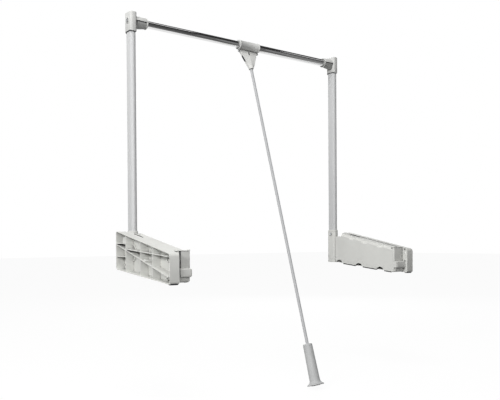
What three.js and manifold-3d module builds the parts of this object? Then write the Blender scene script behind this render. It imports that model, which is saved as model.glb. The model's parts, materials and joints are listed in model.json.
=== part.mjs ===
// Pull down closet rod: two wall housings, two swinging arms, a telescopic bar and a pull rod.
// Millimetres. X runs along the bar from the left wall, Y to the rear of the closet, Z up.
// Inside a side, x is the distance from its wall, y = 0 is the arm and z = 0 the housing's foot.

import * as THREE from "three";
import { mergeVertices } from "three/addons/utils/BufferGeometryUtils.js";
import Module from "manifold-3d";

const wasm = await Module();
wasm.setup();

// Overall sizes
const WIDTH = 1042; // wall face to wall face, as set in the photo
const BAR_HEIGHT = 800; // bar axis above the housing's rear foot
const ARM_INSET = 70; // arm axis from the wall face
const GAP = 0.3; // play between pieces that touch or slide
const WALL = 2.5; // plastic wall
const ROUND_SEGMENTS = 24;
const CURVE_SEGMENTS = 4;

// Housing outline, seen along the bar
const HOUSING_REAR = -22;
const HOUSING_FRONT = -352;
const REAR_HEIGHT = 121;
const FRONT_TOP = 54;
const FRONT_FOOT = -34;
const TRAY_DEPTH = 31;
const COVER_DEPTH = 79; // inner face of the cover from the wall
const COVER_FRONT = -330;
const CORNER_RADIUS = 9;
const TOP_SLOPE = (REAR_HEIGHT - FRONT_TOP) / (HOUSING_REAR - HOUSING_FRONT);
const FOOT_SLOPE = -FRONT_FOOT / (HOUSING_REAR - HOUSING_FRONT);

// Ribs of the wall tray
const RIB = 2.4;
const RIB_SET_BACK = 1;
const UPRIGHT_RIBS = [-86, -178, -251];
const SHELF_RIBS = [82, 41];
const LONG_RIB = [[-24, 79], [-340, -13]];
const SHORT_RIB = [[-89, 64], [-339, 45]];
const RING_AT = [-79, 53];
const RING_RADIUS = 28;
const RING_RISE = 4; // height of the ring above the tray's floor
const PAD_AT = [-205, 30];
const PAD_RADIUS = 5;
const SCREW_BOSS_RADIUS = 6;
const SCREW_BOSS = 5;
const SCREW_HOLE_RADIUS = 2.6;
const WALL_SCREWS = [[-40, 98], [-38, 14], [-300, 34], [-296, -20]];
const FLANGE_HOLES = [[-341, 40], [-341, 2]];
const COVER_SCREWS = [[-230, 66], [-150, 12]];

// Cover
const COVER_DROP = 1; // top of the cover below the tray's
const TOP_BEVEL = 8;
const NOTCH_HALF = 18;
const NOTCH_HEIGHT = 12.5;
const FOOT_NOTCHES = [-44, -151, -260];
const NOTCH_DEPTH = 13;
const SCOOPS = [[-118, 22], [-190, 27], [-264, 22]]; // place along the top and half length
const SCOOP_REACH = 12;
const SCOOP_RISE = 3;
const CORNER_SLOT = [-55, -27];
const BULGE_TOP = 10;
const BULGE_FOOT = -15;
const BULGE_FRONT = -343;
const CHIN_FOOT = -27;
const CHIN_FRONT = -334;
const CHIN_DEPTH = 76;
const BULGE_BACK = -300;
const FACE_EDGE = 3;

// Pivot and lever
const PIVOT_AT = [-60, 90];
const PIVOT_RADIUS = 5;
const PIVOT_PLAY = 0.05;
const LEVER_THICKNESS = 5;
const HUB_RADIUS = 13;
const CRANK = 26;
const CRANK_PIN_RADIUS = 4;
const CRANK_PIN_LENGTH = 12;
const CRANK_HALF_SWING = THREE.MathUtils.degToRad(50);
const SPRING_SLOPE = THREE.MathUtils.degToRad(14);
const REAR_SWEEP_RADIUS = 37;
const LEVER_SLOT_END = -84;
const RIVET_RADIUS = 2.6;
const RIVET_HEAD_RADIUS = 5;
const RIVET_HEAD = 2;
const RIVET_LENGTH = 14;
const RIVETS = [[4, 34], [4, 60]];

// Spring strut
const STRUT_X = 46;
const STRUT_RADIUS = 10;
const STRUT_START = 92;
const STRUT_END = 252;
const STRUT_ROD_RADIUS = 4;
const STRUT_ROD_END = 205;
const STRUT_BORE_END = 212;
const YOKE_THICKNESS = 7;
const YOKE_SLOT_PLAY = 1.5;
const YOKE_RIM = 2.4;
const SADDLES = [110, 236];
const SADDLE_WIDTH = 8;
const SADDLE_REACH = 14;

// Arm, its sleeve and the top elbow
const ARM_THICKNESS = 20;
const ARM_DEPTH = 39;
const ARM_WALL = 1.5;
const ARM_FOOT = 76;
const SLEEVE_THICKNESS = 23.5;
const SLEEVE_DEPTH = 42;
const SLEEVE_TOP = 130;
const SLEEVE_EDGE = 6;
const SLEEVE_SCREW_HEIGHT = 114;
const ELBOW_THICKNESS = 24;
const ELBOW_DEPTH = 44;
const ELBOW_TOP = 29; // above the bar axis
const ELBOW_FOOT = 36; // below the bar axis
const ELBOW_ROOF = 4;
const ELBOW_REACH = 55; // lip of the bar socket from the arm axis
const SOCKET_RADIUS = 16.5;
const HOOD_RADIUS = 18.5;
const HOOD_HEIGHT = 6; // lower edge of the hood above the bar axis
const LIP_RADIUS = 18;
const LIP_WIDTH = 4;
const GUSSET_DROP = 24;
const GUSSET_THICKNESS = 18;
const SCREW_HEAD_RADIUS = 6;
const SCREW_HEAD = 2.6;
const SCREW_RADIUS = 2.4;
const SCREW_LENGTH = 8;
const DOME_SHARE = 0.78; // top of a screw head against its foot
const CROSS_LENGTH = 7;
const CROSS_WIDTH = 1.5;
const CROSS_DEPTH = 1.4;

// Telescopic bar and its centre sleeve
const INNER_TUBE_RADIUS = 12;
const OUTER_TUBE_RADIUS = 14;
const TUBE_WALL = 1.6;
const SOCKET_FLOOR = 14; // start of the bar from the arm axis
const HANGER_AT = WIDTH / 2 + 23; // centre of the pull fork
const HANGER_HALF = 45;
const OUTER_TUBE_START = HANGER_AT - 33;
const INNER_TUBE_END = WIDTH / 2 + 170;
const HANGER_RADIUS = 16.5;
const HANGER_RIM_RADIUS = 17.5;
const HANGER_RIM = 4;
const LUG_WIDTH = 6;
const LUG_RADIUS = 6.5;

// Pull fork, rod and grip
const FORK_PIN_DROP = 23;
const FORK_PIN_RADIUS = 2.5;
const FORK_BARREL_RADIUS = 5.6;
const FORK_LENGTH = 64;
const FORK_THICKNESS = 9;
const FORK_RIDGE_RADIUS = 5;
const FORK_FOOT_RADIUS = 9;
const FORK_HALF = 37;
const SOCKET_DEPTH = 24;
const FORK_NECK = 8.5;
const ROD_RADIUS = 5;
const ROD_TILT = THREE.MathUtils.degToRad(17);
const ROD_END = 1100;
const GRIP_START = 1080;
const GRIP_RADIUS = 15.5;
const GRIP_FOOT_RADIUS = 17.5;
const GRIP_LENGTH = 128;
const FLARE_RADIUS = 28;
const FLARE_LENGTH = 9;
const FLARE_EDGE = 3;
const GRIP_BORE_DEPTH = 40;
const CAP_RADIUS = 15;
const CAP_THICKNESS = 3;
const CAP_PLUG_RADIUS = 11;
const CAP_PLUG_LENGTH = 10;

// Materials
const paint = (color, roughness, metalness) =>
  new THREE.MeshStandardMaterial({ color, roughness, metalness });
const greyPlastic = () => paint(0xc3c5bd, 0.55, 0);
const palePlastic = () => paint(0xcfd0cc, 0.5, 0);
const silverPaint = () => paint(0xc9cbcc, 0.4, 0.3);
const chrome = () => paint(0xd9dadb, 0.12, 1);
const steel = () => paint(0x9a9c9f, 0.35, 0.9);
const blackRubber = () => paint(0x26272a, 0.85, 0);
const whiteRod = () => paint(0xdddede, 0.4, 0.1);
const gripGrey = () => paint(0xb4b6b8, 0.6, 0);

// Solids and joins
function solidOf(geometry) {
  const bare = geometry.clone();
  bare.deleteAttribute("normal");
  bare.deleteAttribute("uv");
  const merged = mergeVertices(bare, GAP / 300);
  return new wasm.Manifold(
    new wasm.Mesh({
      numProp: 3,
      vertProperties: new Float32Array(merged.attributes.position.array),
      triVerts: new Uint32Array(merged.index.array),
    }),
  );
}

function geometryOf(solid) {
  const mesh = solid.getMesh();
  const geometry = new THREE.BufferGeometry();
  geometry.setAttribute("position", new THREE.BufferAttribute(mesh.vertProperties, 3));
  geometry.setIndex(new THREE.BufferAttribute(mesh.triVerts, 1));
  const flat = geometry.toNonIndexed();
  flat.computeVertexNormals();
  return flat;
}

function join(first, ...others) {
  return others.reduce((whole, other) => whole.add(other), first);
}

function cut(first, ...others) {
  return others.reduce((whole, other) => whole.subtract(other), first);
}

// Shapes: an outline drawn in (y, z) and drawn out along x
const ALONG_X = new THREE.Matrix4().makeBasis(
  new THREE.Vector3(0, 1, 0),
  new THREE.Vector3(0, 0, 1),
  new THREE.Vector3(1, 0, 0),
);

function plateX(shape, from, to) {
  const geometry = new THREE.ExtrudeGeometry(shape, {
    depth: to - from,
    bevelEnabled: false,
    curveSegments: CURVE_SEGMENTS,
  });
  return solidOf(geometry.applyMatrix4(ALONG_X).translate(from, 0, 0));
}

function plateZ(shape, from, to) {
  const geometry = new THREE.ExtrudeGeometry(shape, {
    depth: to - from,
    bevelEnabled: false,
    curveSegments: CURVE_SEGMENTS,
  });
  return solidOf(geometry.translate(0, 0, from));
}

function boxOf(x0, x1, y0, y1, z0, z1) {
  const geometry = new THREE.BoxGeometry(x1 - x0, y1 - y0, z1 - z0);
  return solidOf(geometry.translate((x0 + x1) / 2, (y0 + y1) / 2, (z0 + z1) / 2));
}

function rodX(radius, from, to, y, z, farRadius = radius) {
  const geometry = new THREE.CylinderGeometry(radius, farRadius, to - from, ROUND_SEGMENTS);
  return solidOf(geometry.rotateZ(Math.PI / 2).translate((from + to) / 2, y, z));
}

// A round bar along y, from a start to an end counted towards the front
function rodY(radius, start, end, x, z) {
  const geometry = new THREE.CylinderGeometry(radius, radius, end - start, ROUND_SEGMENTS);
  return solidOf(geometry.translate(x, -(start + end) / 2, z));
}

function outlineOf(points) {
  return new THREE.Shape(points.map(([y, z]) => new THREE.Vector2(y, z)));
}

function roundedOutline(points, radius) {
  const shape = new THREE.Shape();
  points.forEach(([y, z], i) => {
    const corner = new THREE.Vector2(y, z);
    const before = new THREE.Vector2(...points.at(i - 1));
    const after = new THREE.Vector2(...points[(i + 1) % points.length]);
    const start = before.clone().sub(corner).setLength(radius).add(corner);
    const end = after.clone().sub(corner).setLength(radius).add(corner);
    if (i === 0) shape.moveTo(start.x, start.y);
    else shape.lineTo(start.x, start.y);
    shape.quadraticCurveTo(corner.x, corner.y, end.x, end.y);
  });
  return shape;
}

function circleAt([y, z], radius) {
  const shape = new THREE.Shape();
  shape.absarc(y, z, radius, 0, 2 * Math.PI);
  return shape;
}

function discX(centre, radius, from, to) {
  return rodX(radius, from, to, centre[0], centre[1]);
}

// A flat oval in (x, y), as thick as it is wide at its round ends
function ovalShape(centreX, thickness, depth) {
  const radius = thickness / 2;
  const straight = depth / 2 - radius;
  const shape = new THREE.Shape();
  shape.absarc(centreX, straight, radius, 0, Math.PI);
  shape.absarc(centreX, -straight, radius, Math.PI, 2 * Math.PI);
  return shape;
}

function ribBetween([y0, z0], [y1, z1], from, to) {
  const along = new THREE.Vector2(y1 - y0, z1 - z0);
  const side = new THREE.Vector2(-along.y, along.x).setLength(RIB / 2);
  return plateX(
    outlineOf([
      [y0 - side.x, z0 - side.y],
      [y1 - side.x, z1 - side.y],
      [y1 + side.x, z1 + side.y],
      [y0 + side.x, z0 + side.y],
    ]),
    from,
    to,
  );
}

const topAt = (y) => REAR_HEIGHT + (y - HOUSING_REAR) * TOP_SLOPE;
const footAt = (y) => (y - HOUSING_REAR) * FOOT_SLOPE;

// The housing's four-cornered outline between two ends, drawn in all round and lowered on top
function housingOutline(rear, front, inset, drop = 0) {
  return roundedOutline(
    [
      [rear - inset, footAt(rear) + inset],
      [rear - inset, topAt(rear) - inset - drop],
      [front + inset, topAt(front) - inset - drop],
      [front + inset, footAt(front) + inset],
    ],
    CORNER_RADIUS - inset / 2,
  );
}

// Turned about the pivot so that -y runs down the spring's line
function onSpringLine(solid) {
  return solidOf(
    geometryOf(solid)
      .rotateX(SPRING_SLOPE)
      .translate(0, PIVOT_AT[0], PIVOT_AT[1]),
  );
}

// Wall tray: an open ribbed shell whose floor faces the room
function wallTray() {
  const floor = TRAY_DEPTH - WALL;
  const full = plateX(housingOutline(HOUSING_REAR, HOUSING_FRONT, 0), 0, TRAY_DEPTH);
  const hollow = plateX(housingOutline(HOUSING_REAR, HOUSING_FRONT, WALL), -WALL, floor);
  const space = plateX(housingOutline(HOUSING_REAR, HOUSING_FRONT, WALL / 2), 0, floor + WALL / 2);
  const ribTop = floor + WALL / 2;
  const uprights = UPRIGHT_RIBS.map((y) =>
    ribBetween([y, footAt(y)], [y, topAt(y)], RIB_SET_BACK, ribTop),
  );
  const shelves = SHELF_RIBS.map((z) =>
    ribBetween([HOUSING_REAR, z], [UPRIGHT_RIBS[0], z], RIB_SET_BACK, ribTop),
  );
  const ring = cut(
    discX(RING_AT, RING_RADIUS, floor - RING_RISE, ribTop),
    discX(RING_AT, RING_RADIUS - RIB, 0, floor),
  );
  const ribs = join(
    ribBetween(...LONG_RIB, RIB_SET_BACK, ribTop),
    ribBetween(...SHORT_RIB, RIB_SET_BACK, ribTop),
    ...uprights,
    ...shelves,
    ring,
    discX(PAD_AT, PAD_RADIUS, 0, ribTop),
    ...WALL_SCREWS.map((at) => discX(at, SCREW_BOSS_RADIUS, floor - SCREW_BOSS, ribTop)),
    discX(PIVOT_AT, HUB_RADIUS, TRAY_DEPTH / 3, ribTop),
  ).intersect(space);
  const saddles = SADDLES.map((at) => onSpringLine(saddle(at)));
  return cut(
    join(cut(full, hollow), ribs, ...saddles),
    ...[...WALL_SCREWS, ...FLANGE_HOLES, ...COVER_SCREWS].map((at) =>
      discX(at, SCREW_HOLE_RADIUS + GAP, -WALL, TRAY_DEPTH + WALL),
    ),
    discX(PIVOT_AT, PIVOT_RADIUS + GAP, TRAY_DEPTH / 2, TRAY_DEPTH + WALL),
  );
}

// A cradle on the tray's floor for the spring strut
function saddle(at) {
  const block = boxOf(
    TRAY_DEPTH - WALL / 2,
    STRUT_X,
    -at - SADDLE_WIDTH,
    -at,
    -CRANK - SADDLE_REACH,
    -CRANK + SADDLE_REACH,
  );
  return block.subtract(
    rodY(STRUT_RADIUS + GAP, at - SADDLE_WIDTH, at + 2 * SADDLE_WIDTH, STRUT_X, -CRANK),
  );
}

// Cover: a shell over the mechanism, bevelled along its top, with notches in its foot edge,
// scoops in its top edge and an open slot for the lever

function notch(y) {
  const shape = new THREE.Shape();
  shape.absellipse(y, footAt(y), NOTCH_HALF, NOTCH_HEIGHT, 0, 2 * Math.PI);
  return plateX(shape, COVER_DEPTH - NOTCH_DEPTH, COVER_DEPTH + WALL);
}

const coverTopAt = (y) => topAt(y) - COVER_DROP;

// What the bevel takes off along the sloped top, moved inwards by an amount
function bevelWedge(inwards) {
  const foot = COVER_DEPTH - TOP_BEVEL;
  const wedge = outlineOf([
    [foot - COVER_DEPTH, COVER_DEPTH],
    [2 * COVER_DEPTH, foot - 2 * COVER_DEPTH],
    [2 * COVER_DEPTH, COVER_DEPTH],
  ]);
  const depth = HOUSING_REAR - HOUSING_FRONT + 2 * TOP_BEVEL;
  return solidOf(
    new THREE.ExtrudeGeometry(wedge, { depth, bevelEnabled: false })
      .rotateX(Math.PI / 2)
      .translate(-inwards, TOP_BEVEL, 0)
      .rotateX(Math.atan(TOP_SLOPE))
      .translate(0, HOUSING_REAR, coverTopAt(HOUSING_REAR)),
  );
}

// An oval ball in the bevelled edge; cut out of a slightly larger one it leaves a scoop
function scoop([y, half], extra) {
  const ball = new THREE.SphereGeometry(1, ROUND_SEGMENTS, ROUND_SEGMENTS / 2);
  return solidOf(
    ball
      .scale(SCOOP_REACH + extra, half + extra, SCOOP_REACH + extra)
      .translate(COVER_DEPTH + SCOOP_RISE, y, coverTopAt(y) + SCOOP_RISE - TOP_BEVEL / 2),
  );
}

function coverShell() {
  const start = TRAY_DEPTH + GAP;
  const inner = COVER_DEPTH - WALL;
  const outline = (inset) => housingOutline(HOUSING_REAR, COVER_FRONT, inset, COVER_DROP);
  const body = plateX(outline(0), start, COVER_DEPTH - FACE_EDGE);
  const face = plateX(outline(FACE_EDGE / 2), start, COVER_DEPTH);
  const bulgeOutline = (inset) =>
    roundedOutline(
      [
        [BULGE_BACK, BULGE_FOOT + inset],
        [BULGE_BACK, BULGE_TOP - inset],
        [BULGE_FRONT + inset, BULGE_TOP - inset],
        [BULGE_FRONT + inset, BULGE_FOOT + inset],
      ],
      CORNER_RADIUS / 2,
    );
  const bulge = join(
    plateX(bulgeOutline(0), start, COVER_DEPTH - FACE_EDGE),
    plateX(bulgeOutline(FACE_EDGE / 2), start, COVER_DEPTH),
  );
  const chin = plateX(
    roundedOutline(
      [
        [BULGE_BACK, CHIN_FOOT],
        [BULGE_BACK, BULGE_FOOT + WALL],
        [CHIN_FRONT, BULGE_FOOT + WALL],
        [CHIN_FRONT, CHIN_FOOT],
      ],
      WALL,
    ),
    start,
    CHIN_DEPTH,
  );
  const hollow = cut(
    plateX(outline(WALL), 0, inner),
    bevelWedge(WALL * Math.SQRT2),
    ...SCOOPS.map((at) => scoop(at, WALL)),
  );
  return cut(
    join(body, face, bulge, chin),
    hollow,
    bevelWedge(0),
    ...SCOOPS.map((at) => scoop(at, 0)),
  );
}

function innerCover() {
  const start = TRAY_DEPTH + GAP;
  const leverFrom = leverStart() - 2 * GAP;
  const leverTo = ARM_INSET - SLEEVE_THICKNESS / 2 + GAP;
  const rearArc = plateX(
    outlineOf([
      [PIVOT_AT[0], PIVOT_AT[1]],
      [HOUSING_REAR + CORNER_RADIUS, PIVOT_AT[1]],
      [HOUSING_REAR + CORNER_RADIUS, REAR_HEIGHT + CORNER_RADIUS],
      [PIVOT_AT[0], REAR_HEIGHT + CORNER_RADIUS],
    ]),
    0,
    COVER_DEPTH + WALL,
  ).subtract(discX(PIVOT_AT, REAR_SWEEP_RADIUS, -WALL, COVER_DEPTH + 2 * WALL));
  const slot = boxOf(
    leverFrom,
    leverTo,
    LEVER_SLOT_END,
    HOUSING_REAR + WALL,
    PIVOT_AT[1] - 2 * HUB_RADIUS,
    REAR_HEIGHT + WALL,
  );
  const [slotFront, slotRear] = CORNER_SLOT;
  const slotHeight = PIVOT_AT[1] + HUB_RADIUS + GAP;
  const cornerSlot = boxOf(
    leverTo - GAP,
    COVER_DEPTH + WALL,
    slotFront,
    slotRear,
    slotHeight,
    REAR_HEIGHT + WALL,
  );
  const boss = discX(PIVOT_AT, HUB_RADIUS, leverTo + 2 * GAP, COVER_DEPTH - WALL / 2);
  const holder = onSpringLine(
    boxOf(
      STRUT_X,
      COVER_DEPTH - WALL / 2,
      -SADDLES[1],
      -SADDLES[1] + SADDLE_WIDTH,
      -CRANK - SADDLE_REACH,
      -CRANK + SADDLE_REACH,
    ).subtract(
      rodY(STRUT_RADIUS + GAP, SADDLES[0], STRUT_END + STRUT_RADIUS, STRUT_X, -CRANK),
    ),
  ).subtract(boxOf(0, STRUT_X + GAP, HOUSING_FRONT, 0, FRONT_FOOT, REAR_HEIGHT));
  const shell = cut(
    coverShell(),
    slot,
    cornerSlot,
    ...FOOT_NOTCHES.map(notch),
  );
  const posts = COVER_SCREWS.map((at) =>
    discX(at, SCREW_HEAD_RADIUS, start, COVER_DEPTH - WALL / 2),
  );
  const allowed = cut(
    plateX(
      housingOutline(HOUSING_REAR, COVER_FRONT, WALL / 2, COVER_DROP),
      start,
      COVER_DEPTH - WALL / 2,
    ),
    bevelWedge(WALL),
  );
  return cut(
    join(shell, join(boss, holder, ...posts).intersect(allowed)),
    rearArc,
    discX(PIVOT_AT, PIVOT_RADIUS + GAP, 0, COVER_DEPTH - WALL),
    ...COVER_SCREWS.map((at) =>
      discX(at, SCREW_RADIUS + GAP, start - WALL, TRAY_DEPTH + 2 * SCREW_LENGTH),
    ),
  );
}

// Where the lever's plate starts, so that it lies against the arm's sleeve
function leverStart() {
  return ARM_INSET - SLEEVE_THICKNESS / 2 - GAP - LEVER_THICKNESS;
}

function crankPinAt() {
  return [-CRANK * Math.sin(CRANK_HALF_SWING), -CRANK * Math.cos(CRANK_HALF_SWING)];
}

function lever() {
  const start = leverStart();
  const end = start + LEVER_THICKNESS;
  const footHeight = RIVETS[0][1] - 2 * RIVET_HEAD_RADIUS;
  const blade = plateX(
    roundedOutline(
      [
        [PIVOT_AT[0], PIVOT_AT[1] - HUB_RADIUS],
        [HOUSING_REAR + CORNER_RADIUS, PIVOT_AT[1] - 2 * HUB_RADIUS + LEVER_THICKNESS],
        [-SLEEVE_DEPTH / 4, footHeight],
        [SLEEVE_DEPTH / 2 - CORNER_RADIUS, footHeight],
        [SLEEVE_DEPTH / 2 - CORNER_RADIUS, PIVOT_AT[1]],
        [PIVOT_AT[0], PIVOT_AT[1] + HUB_RADIUS],
      ],
      WALL,
    ),
    start,
    end,
  );
  const [pinY, pinZ] = crankPinAt();
  const crank = plateX(
    outlineOf([
      [0, HUB_RADIUS],
      [pinY - CRANK_PIN_RADIUS - WALL, pinZ],
      [pinY, pinZ - CRANK_PIN_RADIUS - WALL],
      [HUB_RADIUS, 0],
    ]),
    start,
    end,
  );
  const pin = rodX(CRANK_PIN_RADIUS, start - CRANK_PIN_LENGTH, start + WALL, pinY, pinZ);
  const eye = rodX(CRANK_PIN_RADIUS + WALL, start, end, pinY, pinZ);
  return cut(
    join(blade, discX(PIVOT_AT, HUB_RADIUS, start, end), onSpringLine(join(crank, pin, eye))),
    discX(PIVOT_AT, PIVOT_RADIUS + PIVOT_PLAY, 0, COVER_DEPTH),
    ...RIVETS.map((at) => discX(at, RIVET_RADIUS + GAP, 0, COVER_DEPTH)),
  );
}

function pivotPin() {
  return discX(PIVOT_AT, PIVOT_RADIUS, TRAY_DEPTH / 2 + GAP, COVER_DEPTH - WALL - GAP);
}

// Rod of the strut with the yoke that the crank pin moves
function springRod() {
  const [pinY] = crankPinAt();
  const slotHalf = CRANK_PIN_RADIUS + YOKE_SLOT_PLAY;
  const slotTop = -CRANK * Math.cos(CRANK_HALF_SWING) + CRANK_PIN_RADIUS + GAP;
  const slotFoot = -CRANK - CRANK_PIN_RADIUS - GAP;
  const yokeFrom = STRUT_X - YOKE_THICKNESS / 2;
  const yokeTo = STRUT_X + YOKE_THICKNESS / 2;
  const half = slotHalf + YOKE_RIM;
  const yoke = boxOf(
    yokeFrom,
    yokeTo,
    pinY - half,
    pinY + half,
    slotFoot - YOKE_RIM,
    slotTop + YOKE_RIM,
  );
  const slot = boxOf(
    yokeFrom - WALL,
    yokeTo + WALL,
    pinY - slotHalf,
    pinY + slotHalf,
    slotFoot,
    slotTop,
  );
  const rod = rodY(STRUT_ROD_RADIUS, -pinY + half - WALL, STRUT_ROD_END, STRUT_X, -CRANK);
  return onSpringLine(join(cut(yoke, slot), rod.subtract(slot)));
}

function springCylinder() {
  return onSpringLine(
    cut(
      rodY(STRUT_RADIUS, STRUT_START, STRUT_END, STRUT_X, -CRANK),
      rodY(STRUT_ROD_RADIUS + GAP, STRUT_START - WALL, STRUT_BORE_END, STRUT_X, -CRANK),
    ),
  );
}

// Rubber block on the cover that the lever rests on when the bar is up
function stopBuffer() {
  const leverFoot = PIVOT_AT[1] - 2 * HUB_RADIUS + LEVER_THICKNESS;
  const y = HOUSING_REAR - WALL - GAP;
  const lowest = leverFoot - 2 * CORNER_RADIUS;
  return boxOf(
    leverStart(),
    COVER_DEPTH - WALL - GAP,
    y - CORNER_RADIUS,
    y,
    lowest,
    leverFoot - GAP,
  );
}

// Pan head screw or rivet along x; the head lies at the start and the shank points to +x
function screwX(at, start, headRadius, head, radius, length) {
  const [y, z] = at;
  const dome = rodX(headRadius, start, start + head, y, z, headRadius * DOME_SHARE);
  const shank = rodX(radius, start + head / 2, start + head + length, y, z);
  return join(dome, shank);
}

function crossed(solid, at, start) {
  const [y, z] = at;
  const half = CROSS_LENGTH / 2;
  const thin = CROSS_WIDTH / 2;
  return cut(
    solid,
    boxOf(start - CROSS_DEPTH, start + CROSS_DEPTH, y - half, y + half, z - thin, z + thin),
    boxOf(start - CROSS_DEPTH, start + CROSS_DEPTH, y - thin, y + thin, z - half, z + half),
  );
}

function flippedX(solid, about) {
  return solidOf(
    geometryOf(solid)
      .rotateZ(Math.PI)
      .translate(2 * about, 0, 0),
  );
}

// A screw that holds the cover to the tray, through the tray's floor
function coverScrew(at) {
  const start = TRAY_DEPTH - WALL - GAP - SCREW_HEAD;
  const length = SCREW_LENGTH + WALL;
  const plain = screwX(at, start, SCREW_HEAD_RADIUS, SCREW_HEAD, SCREW_RADIUS, length);
  return crossed(plain, at, start);
}

function armSleeve() {
  const half = SLEEVE_THICKNESS / 2;
  const outer = roundedOutline(
    [
      [ARM_INSET - half, -SLEEVE_DEPTH / 2],
      [ARM_INSET + half, -SLEEVE_DEPTH / 2],
      [ARM_INSET + half, SLEEVE_DEPTH / 2],
      [ARM_INSET - half, SLEEVE_DEPTH / 2],
    ],
    SLEEVE_EDGE,
  );
  const bore = ovalShape(ARM_INSET, ARM_THICKNESS + 2 * GAP, ARM_DEPTH + 2 * GAP);
  const screwAt = [0, SLEEVE_SCREW_HEIGHT];
  return cut(
    plateZ(outer, 0, SLEEVE_TOP),
    plateZ(bore, ARM_FOOT - GAP, SLEEVE_TOP + WALL),
    discX(screwAt, SCREW_RADIUS + GAP, ARM_INSET, ARM_INSET + SLEEVE_THICKNESS),
    ...RIVETS.map((at) => discX(at, RIVET_RADIUS + GAP, 0, leverStart() + RIVET_LENGTH + GAP)),
  );
}

function sleeveScrew() {
  const face = ARM_INSET + SLEEVE_THICKNESS / 2 + GAP;
  const at = [0, SLEEVE_SCREW_HEIGHT];
  const plain = screwX(at, 0, SCREW_HEAD_RADIUS, SCREW_HEAD, SCREW_RADIUS, SCREW_LENGTH);
  return flippedX(crossed(plain, at, 0), (face + SCREW_HEAD) / 2);
}

function rivet(at) {
  const start = leverStart() - GAP - RIVET_HEAD;
  return screwX(at, start, RIVET_HEAD_RADIUS, RIVET_HEAD, RIVET_RADIUS, RIVET_LENGTH);
}

function armTube() {
  const shape = ovalShape(ARM_INSET, ARM_THICKNESS, ARM_DEPTH);
  const inside = ovalShape(ARM_INSET, ARM_THICKNESS - 2 * ARM_WALL, ARM_DEPTH - 2 * ARM_WALL);
  const top = BAR_HEIGHT + ELBOW_TOP - ELBOW_ROOF - GAP;
  return cut(
    plateZ(shape, ARM_FOOT, top),
    plateZ(inside, ARM_FOOT - WALL, top + WALL),
    discX([0, SLEEVE_SCREW_HEIGHT], SCREW_RADIUS + GAP, ARM_INSET, ARM_INSET + ARM_THICKNESS),
    discX([0, BAR_HEIGHT], SCREW_RADIUS + GAP, 0, ARM_INSET),
  );
}

// Elbow: an oval cap over the arm with a socket for the bar and a gusset under it
function elbow(tubeRadius) {
  const cap = plateZ(
    ovalShape(ARM_INSET, ELBOW_THICKNESS, ELBOW_DEPTH),
    BAR_HEIGHT - ELBOW_FOOT,
    BAR_HEIGHT + ELBOW_TOP,
  );
  const lip = ARM_INSET + ELBOW_REACH;
  const barrel = rodX(SOCKET_RADIUS, ARM_INSET, lip, 0, BAR_HEIGHT);
  const hood = rodX(HOOD_RADIUS, ARM_INSET, lip - LIP_WIDTH - GAP, 0, BAR_HEIGHT).subtract(
    boxOf(
      0,
      2 * lip,
      -HOOD_RADIUS - WALL,
      HOOD_RADIUS + WALL,
      BAR_HEIGHT - HOOD_RADIUS - WALL,
      BAR_HEIGHT + HOOD_HEIGHT,
    ),
  );
  const rim = rodX(LIP_RADIUS, lip - LIP_WIDTH, lip, 0, BAR_HEIGHT);
  const gusset = solidOf(
    new THREE.ExtrudeGeometry(
      outlineOf([
        [ARM_INSET, BAR_HEIGHT - GUSSET_DROP],
        [lip - LIP_WIDTH, BAR_HEIGHT - SOCKET_RADIUS + GAP],
        [lip - LIP_WIDTH, BAR_HEIGHT],
        [ARM_INSET, BAR_HEIGHT],
      ]),
      { depth: GUSSET_THICKNESS, bevelEnabled: false },
    )
      .rotateX(Math.PI / 2)
      .translate(0, GUSSET_THICKNESS / 2, 0),
  );
  const armRoom = plateZ(
    ovalShape(ARM_INSET, ARM_THICKNESS + 2 * GAP, ARM_DEPTH + 2 * GAP),
    BAR_HEIGHT - ELBOW_FOOT - WALL,
    BAR_HEIGHT + ELBOW_TOP - ELBOW_ROOF,
  );
  const barRoom = rodX(tubeRadius + GAP, ARM_INSET + SOCKET_FLOOR - GAP, lip + WALL, 0, BAR_HEIGHT);
  return cut(
    join(cap, barrel, hood, rim, gusset),
    armRoom,
    barRoom,
    discX([0, BAR_HEIGHT], SCREW_RADIUS + GAP, 0, ARM_INSET),
  );
}

function elbowScrew() {
  const face = ARM_INSET - ELBOW_THICKNESS / 2 - GAP;
  const at = [0, BAR_HEIGHT];
  const start = face - SCREW_HEAD;
  const plain = screwX(at, start, SCREW_HEAD_RADIUS, SCREW_HEAD, SCREW_RADIUS, SCREW_LENGTH);
  return crossed(plain, at, start);
}

function tubeX(radius, from, to) {
  return cut(
    rodX(radius, from, to, 0, BAR_HEIGHT),
    rodX(radius - TUBE_WALL, from - WALL, to + WALL, 0, BAR_HEIGHT),
  );
}

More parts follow.
